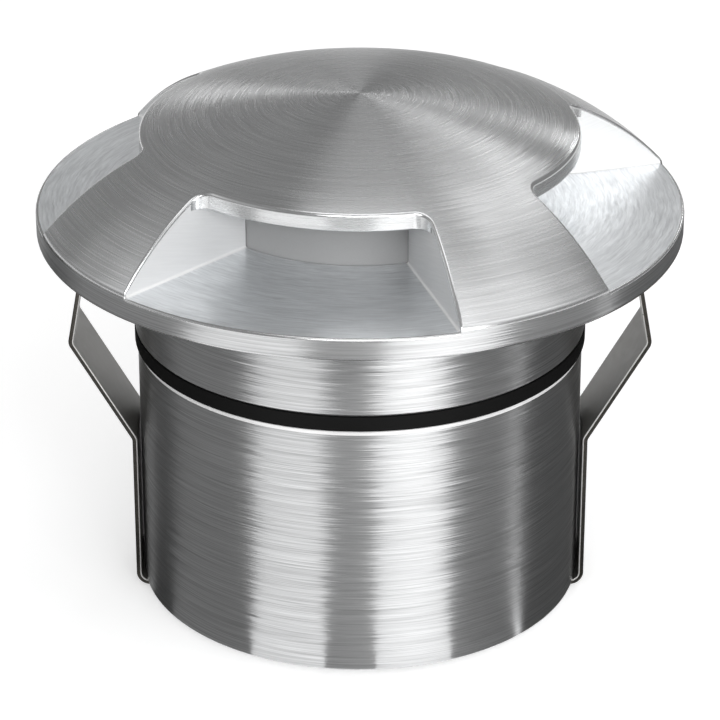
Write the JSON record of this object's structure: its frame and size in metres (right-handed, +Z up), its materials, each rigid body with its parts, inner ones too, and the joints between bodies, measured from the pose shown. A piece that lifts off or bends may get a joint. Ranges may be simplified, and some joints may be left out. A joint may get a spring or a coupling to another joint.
{
  "type": "in-ground well light",
  "caption": "Round recessed ground light: domed cover that throws light out through side windows, black gasket, tube body, bent spring clips at its sides and a cable gland in the base.",
  "frame": {"origin": "centre of the face that the light stands on, under the base cap", "axes": "+Z up along the axis of the tube, +X towards the right-hand spring clip, -Y towards the picture's viewer"},
  "size_m": [0.065, 0.065, 0.054],
  "materials": {
    "cover_steel": "circular brushed",
    "tube_steel": "brushed round the axis",
    "cap_steel": "turned",
    "spring_steel": "smooth rolled",
    "screw_steel": "satin",
    "frosted_plastic": "frosted",
    "gasket_rubber": "matte",
    "seal_rubber": "matte",
    "plain_aluminium": "turned",
    "bright_aluminium": "polished",
    "pad_silicone": "matte",
    "white_board": "matte",
    "chip_yellow": "gel",
    "lead_red": "smooth",
    "green_board": "satin",
    "capacitor_blue": "shrink sleeve",
    "black_plastic": "moulded",
    "terminal_green": "moulded",
    "spacer_nylon": "smooth"
  },
  "bodies": {
    "housing": {"housing_tube": "tube_steel", "heat_sink": "plain_aluminium", "thermal_pad": "pad_silicone", "led_board": "white_board", "led_chips": "chip_yellow", "led_board_screws": "screw_steel", "led_leads": "lead_red", "driver_board": "green_board", "capacitor": "capacitor_blue", "choke": "black_plastic", "rectifier": "black_plastic", "terminal_block": "terminal_green", "board_spacers": "spacer_nylon", "base_cap": "cap_steel", "base_seal": "seal_rubber", "tie_screws": "screw_steel", "clip_foot_left": "spring_steel", "clip_foot_right": "spring_steel", "clip_rivets": "screw_steel", "gland_body": "black_plastic", "gland_washer": "seal_rubber", "gland_locknut": "black_plastic", "gland_seal": "seal_rubber", "gland_nut": "black_plastic"},
    "gasket": {"housing_gasket": "gasket_rubber"},
    "cover": {"cover": "cover_steel", "diffuser_ring": "frosted_plastic", "diffuser_seal_upper": "seal_rubber", "diffuser_seal_lower": "seal_rubber", "clamp_ring": "plain_aluminium", "reflector_cone": "bright_aluminium", "reflector_screw": "screw_steel"},
    "arm_left": {"clip_arm_left": "spring_steel"},
    "arm_right": {"clip_arm_right": "spring_steel"}
  },
  "joints": [
    {"name": "cover_rise", "type": "slide", "parent": "housing", "child": "gasket", "axis": [0, 0, 1], "range_m": [0, 0.00713]},
    {"name": "cover_turn", "type": "hinge", "parent": "gasket", "child": "cover", "pos_m": [0, 0, 0.0296], "axis": [0, 0, 1], "range_deg": [0, 1710]},
    {"name": "clip_left_press", "type": "hinge", "parent": "housing", "child": "arm_left", "pos_m": [-0.0231, 0, 0.0176], "axis": [0, 1, 0], "range_deg": [0, 10], "stiffness_Nm_per_rad": 1.7},
    {"name": "clip_right_press", "type": "hinge", "parent": "housing", "child": "arm_right", "pos_m": [0.0231, 0, 0.0176], "axis": [0, -1, 0], "range_deg": [0, 10], "stiffness_Nm_per_rad": 1.7}
  ],
  "couplings": [
    {"joint": "cover_rise", "follows": "cover_turn", "m_per_rad": 0.00023873}
  ]
}
